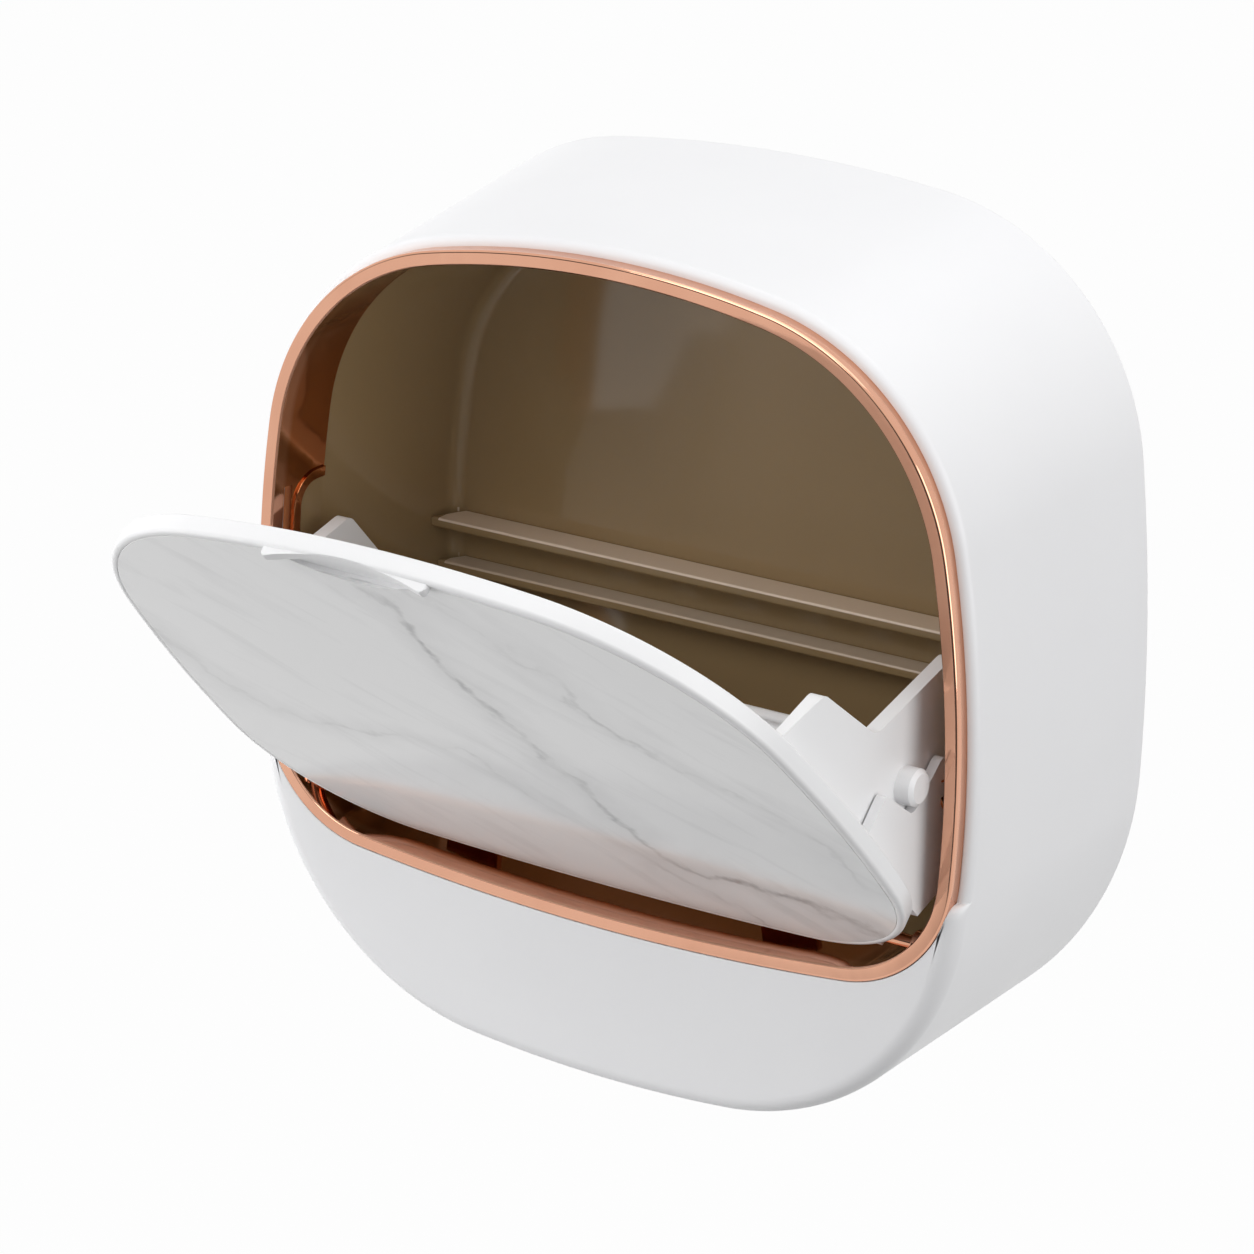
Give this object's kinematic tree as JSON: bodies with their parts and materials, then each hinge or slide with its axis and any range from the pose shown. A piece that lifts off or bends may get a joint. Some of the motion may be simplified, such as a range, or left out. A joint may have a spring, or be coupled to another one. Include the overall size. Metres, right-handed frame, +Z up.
{
  "type": "lidded wall soap dish",
  "caption": "Wall-hung soap dish in a rounded case, with a copper-coloured frame, a smoky liner and a marbled flip lid that carries a lift-out soap cradle.",
  "frame": {"origin": "centre of the adhesive pad's back face, which lies on the wall", "axes": "+X to the right as seen from the front, +Z up, and the front of the case faces -Y; the wall lies in the plane y = 0"},
  "size_m": [0.138, 0.116, 0.1453],
  "materials": {
    "shell_white": "smooth, soft gloss",
    "cover_white": "satin",
    "screw_steel": "zinc plated",
    "trim_copper": "rose-copper plating, polished",
    "liner_smoke": "smoky brown, glossy",
    "lid_white": "smooth, glossy",
    "face_marble": "light grey marble veining under gloss",
    "pin_copper": "copper plated",
    "cradle_white": "smooth, glossy",
    "plate_white": "satin",
    "pad_grey": "foam tape"
  },
  "bodies": {
    "mount": {"wall_plate": "plate_white", "adhesive_pad": "pad_grey"},
    "housing": {"outer_shell": "shell_white", "back_cover": "cover_white", "cover_screws": "screw_steel", "trim_frame": "trim_copper", "inner_liner": "liner_smoke"},
    "lid": {"lid_panel": "lid_white", "marble_face": "face_marble", "hinge_pin_left": "pin_copper", "hinge_pin_right": "pin_copper"},
    "cradle": {"soap_cradle": "cradle_white"}
  },
  "joints": [
    {"name": "housing_lift", "type": "slide", "parent": "mount", "child": "housing", "axis": [0, 0, 1], "range_m": [0, 0.008]},
    {"name": "lid_hinge", "type": "hinge", "parent": "housing", "child": "lid", "pos_m": [0, -0.04995, -0.0275], "axis": [-1, 0, 0], "range_deg": [0, 42.7]},
    {"name": "cradle_lift", "type": "slide", "parent": "lid", "child": "cradle", "axis": [0, -0.6782, 0.7349], "range_m": [0, 0.008]}
  ]
}
